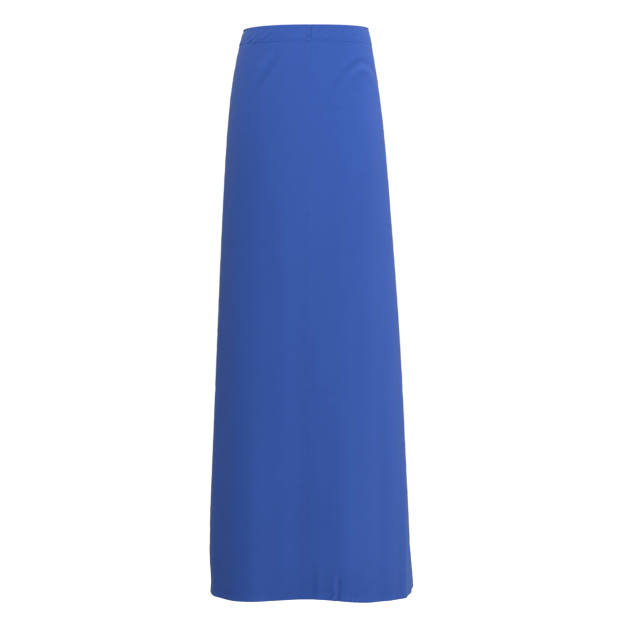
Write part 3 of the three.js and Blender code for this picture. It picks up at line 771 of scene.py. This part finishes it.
# ---- The bow's loops ----
# Each loop comes out of the knot's side in tight pleats, opens to the tie's full width, droops under its
# own weight, and comes back behind itself.
LOOP_REACH = 0.11
LOOP_ROOT = 0.006
droop = math.radians(50)
angle = np.linspace(0, 2 * math.pi, 151)
share = (1 - np.cos(angle)) / 2
out = 0.0004 + (LOOP_REACH - 0.0004) * share
behind = 0.009 * (share - np.sin(angle) * np.sqrt(share)) - 0.0015 * np.cos(angle / 2)
root_half = np.sqrt(np.clip(LOOP_ROOT**2 - (LOOP_ROOT - out) ** 2, 0, None))
half = np.where(out < LOOP_ROOT, root_half,
                LOOP_ROOT + (TIE_WIDTH / 2 - LOOP_ROOT) * rise(out, LOOP_ROOT, 0.04))
for name, side in (("left", -1), ("right", 1)):
    along = np.array([side * math.cos(droop), 0, -math.sin(droop)])
    across = np.array([side * math.sin(droop), 0, math.cos(droop)])
    pivot = centre_back + (side * (KNOT_WIDTH / 2 + 0.0003 + LOOP_ROOT), 0.007, 0)
    places = pivot + along * (out - LOOP_ROOT)[:, None] + np.array([0, 1, 0]) * behind[:, None]
    pleats = 0.0009 * np.exp(-out / 0.024) * rise(out, 0.001, 0.006)
    wave = (pleats[:, None] * np.cos(3 * math.pi * across_share + side)
            + 0.0006 * np.sin(angle * 3 + side)[:, None] * across_share
            + 0.0007 * rise(out, 0.03, 0.08)[:, None] * np.cos(2.1 * across_share + 1.2 * angle[:, None]))
    loop, *shape = tie_strip(f"bow_loop_{name}_strip", places, across, half, wave,
                             np.full((len(out), 1), TIE_THICKNESS))
    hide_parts(f"bow_loop_{name}")
    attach(loop, f"loop_{name}")
    stitches = tie_stitches(f"bow_loop_{name}_stitches", *shape, 0.012, shape[1][-1] - 0.012)
    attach(stitches, f"loop_{name}")

# ---- The bow's tails ----
# The rest of each tie hangs from under the knot, opening from its pleats to its full width. Its end is
# turned in by 12 mm and sewn across. The knot takes up 50 mm of each tie.
KNOT_CLOTH = 0.05
TAIL_ROOT = 0.007
TAIL_LENGTH = TIE_LENGTH - (BACK_GAP / 2 - KNOT_WIDTH / 2) - KNOT_CLOTH - 2 * LOOP_REACH
down = stations(
    (0, 0.06, 0.0015), (0.06, TAIL_LENGTH - 0.02, 0.005),
    (TAIL_LENGTH - 0.02, TAIL_LENGTH - 0.001, 0.001), (TAIL_LENGTH - 0.001, TAIL_LENGTH, 0.00025))
opened = rise(down, 0, 0.05)
half = TAIL_ROOT + (TIE_WIDTH / 2 - TAIL_ROOT) * opened
for name, side in (("left", -1), ("right", 1)):
    aside = 0.001 + half + 0.001 * opened + 0.035 * down
    sway = side * 0.003 * np.sin(math.pi * down / TAIL_LENGTH) * opened
    places = knot_middle + np.stack([side * aside, sway, -KNOT_HEIGHT / 2 - 0.0003 - down], -1)
    gathers = 0.0012 * np.exp(-down / 0.03) * rise(down, 0.0, 0.006)
    wave = (gathers[:, None] * np.cos(3 * math.pi * across_share)
            + 0.0011 * (opened * np.sin(down * 31 + side))[:, None] * across_share
            + 0.0009 * (opened * np.sin(down * 17 + 2 * side))[:, None] * (1 - across_share**2))
    hem = rise(down, TAIL_LENGTH - 0.0126, TAIL_LENGTH - 0.0114) * edge_round(TAIL_LENGTH - down, 0.0008)
    ends = edge_round(down, 0.0007) * edge_round(TAIL_LENGTH - down, 0.0008)
    thick = (TIE_THICKNESS * ends + 0.0006 * hem)[:, None]
    tail, *shape = tie_strip(f"tie_tail_{name}_strip", places, np.array([-1.0, 0, 0]), half, wave, thick)
    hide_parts(f"tie_tail_{name}")
    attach(tail, f"tail_{name}")
    edge_row = tie_stitches(f"tie_tail_{name}_edge_stitches", *shape, 0.016, TAIL_LENGTH - 0.003)
    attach(edge_row, f"tail_{name}")
    middle, length, width = shape
    reach = (TIE_WIDTH / 2 - HEM_STITCH_INSET) / (TIE_WIDTH / 2)
    shares = np.arange(-reach, reach, STITCH_PITCH / width[-1])
    column = (np.arcsin(shares) / math.pi + 0.5) * (TIE_COLUMNS - 1)
    row = np.full(len(column), np.interp(TAIL_LENGTH - 0.010, length, np.arange(len(length))))
    points = between(middle, row, column)
    normals = unit(between(facing(middle), row, column))
    aheads = unit(between(np.gradient(middle, axis=1), row, column))
    lift = normals * (TIE_THICKNESS / 2 + 0.0003 - 0.00008)
    across_row = stitch_row(f"tie_tail_{name}_end_stitches", np.concatenate([points + lift, points - lift]),
                            np.concatenate([normals, -normals]), np.concatenate([aheads, aheads]))
    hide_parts(f"tail_stitching_{name}")
    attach(across_row, f"tail_{name}")

# ---- Floor, light and camera ----
# A plain pale floor under the apron, which hangs clear of it. The soft main light is in front and above,
# with others from both sides, stronger on the right, and three behind that catch the edges.
FLOOR_DROP = 0.16
floor_z = cad_box[0].z - FLOOR_DROP
floor_mesh = bpy.data.meshes.new("floor")
FLOOR_REACH = 9
floor_corners = [(x * FLOOR_REACH, y * FLOOR_REACH, floor_z) for x, y in ((-1, -1), (1, -1), (1, 1), (-1, 1))]
floor_mesh.from_pydata(floor_corners, [], [(0, 1, 2, 3)])
floor = bpy.data.objects.new("floor", floor_mesh)
bpy.context.scene.collection.objects.link(floor)
pale = bpy.data.materials.new("pale_floor")
pale.use_nodes = True
pale_surface = pale.node_tree.nodes["Principled BSDF"]
pale_surface.inputs["Base Color"].default_value = (0.6, 0.6, 0.6, 1)
pale_surface.inputs["Roughness"].default_value = 0.9
pale_surface.inputs["Specular IOR Level"].default_value = 0.0
pale_surface.inputs["Emission Color"].default_value = (1, 1, 1, 1)
floor_seen = pale.node_tree.nodes.new("ShaderNodeLightPath")
glow = Signal(floor_seen.outputs["Is Camera Ray"]) * 0.98 + 0.02
pale.node_tree.links.new(glow.socket, pale_surface.inputs["Emission Strength"])
floor_mesh.materials.append(pale)

world = bpy.context.scene.world or bpy.data.worlds.new("studio")
bpy.context.scene.world = world
world.use_nodes = True
sky = world.node_tree.nodes["Background"]
seen = world.node_tree.nodes.new("ShaderNodeLightPath")
ROOM_LIGHT = 0.02
strength = Signal(seen.outputs["Is Camera Ray"]) * (1.02 - ROOM_LIGHT) + ROOM_LIGHT
world.node_tree.links.new(strength.socket, sky.inputs["Strength"])
sky.inputs["Color"].default_value = (1, 1, 1, 1)


def soft_light(name, around, up, distance, size, watts):
    """A square soft light facing the apron's middle, turned around from the front towards +X, and up
    from level, both in degrees."""
    data = bpy.data.lights.new(name, "AREA")
    data.size, data.energy = size, watts
    lamp = bpy.data.objects.new(name, data)
    bpy.context.scene.collection.objects.link(lamp)
    turn, lift = math.radians(around), math.radians(up)
    out = Vector((math.sin(turn) * math.cos(lift), -math.cos(turn) * math.cos(lift), math.sin(lift)))
    lamp.location = Vector((0, 0, (cad_box[0].z + cad_box[1].z) / 2)) + out * distance
    lamp.rotation_euler = out.to_track_quat("Z", "Y").to_euler()


LIGHTS = [
    ("front", 8, 39, 2.7, 1.4, 54),
    ("left", -50, 42, 2.5, 1.6, 8),
    ("right_low", 60, 0, 2.6, 1.4, 15),
    ("right", 95, 5, 2.4, 1.2, 7),
    ("right_edge", 110, 40, 1.9, 1.0, 17),
    ("left_edge", -115, 56, 1.9, 1.0, 15),
    ("left_back", -135, 15, 2.2, 1.0, 1),
]
for light in LIGHTS:
    soft_light(*light)

CAMERA_DISTANCE = 3.6
CAMERA_X, CAMERA_Z = 0.0078, -0.4975
camera_data = bpy.data.cameras.new("camera")
camera_data.lens, camera_data.sensor_width = 121.3, 36
camera = bpy.data.objects.new("camera", camera_data)
bpy.context.scene.collection.objects.link(camera)
camera.location = (CAMERA_X, cad_box[0].y - CAMERA_DISTANCE, CAMERA_Z)
camera.rotation_euler = (math.pi / 2, 0, 0)
bpy.context.scene.camera = camera
bpy.context.scene.view_settings.view_transform = "Standard"
